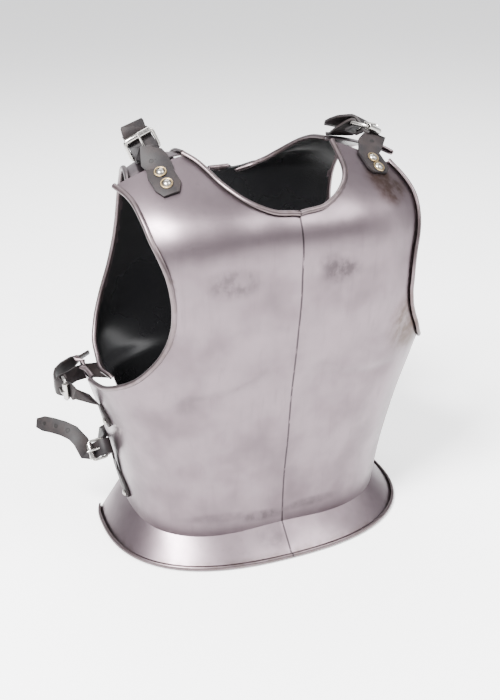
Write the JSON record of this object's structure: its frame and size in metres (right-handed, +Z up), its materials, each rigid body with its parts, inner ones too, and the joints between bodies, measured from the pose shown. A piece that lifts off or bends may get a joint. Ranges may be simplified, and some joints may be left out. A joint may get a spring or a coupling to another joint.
{
  "type": "steel cuirass",
  "caption": "Steel cuirass: ridged breastplate with rolled edges and a waist flange, joined to a backplate by buckled leather straps.",
  "frame": {"origin": "middle of the bottom of the bounding box, where the waist flange rests", "axes": "+Z up from waist to shoulders, -Y towards the chest, +X to the wearer's left"},
  "size_m": [0.4278, 0.25, 0.4619],
  "materials": {
    "plate_steel": "satin, finely brushed outside, black paint inside",
    "strap_leather": "black-brown leather with brown cut edges",
    "buckle_nickel": "bright nickel plate",
    "rivet_steel": "polished rivet heads"
  },
  "bodies": {
    "root": {"breastplate": "plate_steel", "backplate": "plate_steel", "shoulder_right_frame": "buckle_nickel", "shoulder_right_roller": "buckle_nickel", "shoulder_right_prong": "buckle_nickel", "shoulder_right_billet": "strap_leather", "shoulder_right_chape": "strap_leather", "shoulder_right_billet_rivet_1": "rivet_steel", "shoulder_right_billet_rivet_2": "rivet_steel", "shoulder_right_chape_rivet": "rivet_steel", "shoulder_left_frame": "buckle_nickel", "shoulder_left_roller": "buckle_nickel", "shoulder_left_prong": "buckle_nickel", "shoulder_left_billet": "strap_leather", "shoulder_left_chape": "strap_leather", "shoulder_left_billet_rivet_1": "rivet_steel", "shoulder_left_billet_rivet_2": "rivet_steel", "shoulder_left_chape_rivet": "rivet_steel", "side_upper_right_frame": "buckle_nickel", "side_upper_right_roller": "buckle_nickel", "side_upper_right_prong": "buckle_nickel", "side_upper_right_billet": "strap_leather", "side_upper_right_chape": "strap_leather", "side_upper_right_billet_rivet_1": "rivet_steel", "side_upper_right_chape_rivet": "rivet_steel", "side_lower_right_frame": "buckle_nickel", "side_lower_right_roller": "buckle_nickel", "side_lower_right_prong": "buckle_nickel", "side_lower_right_billet": "strap_leather", "side_lower_right_chape": "strap_leather", "side_lower_right_billet_rivet_1": "rivet_steel", "side_lower_right_chape_rivet": "rivet_steel", "side_upper_left_frame": "buckle_nickel", "side_upper_left_roller": "buckle_nickel", "side_upper_left_prong": "buckle_nickel", "side_upper_left_billet": "strap_leather", "side_upper_left_chape": "strap_leather", "side_upper_left_billet_rivet_1": "rivet_steel", "side_upper_left_chape_rivet": "rivet_steel", "side_lower_left_frame": "buckle_nickel", "side_lower_left_roller": "buckle_nickel", "side_lower_left_prong": "buckle_nickel", "side_lower_left_billet": "strap_leather", "side_lower_left_chape": "strap_leather", "side_lower_left_billet_rivet_1": "rivet_steel", "side_lower_left_chape_rivet": "rivet_steel"}
  },
  "joints": []
}
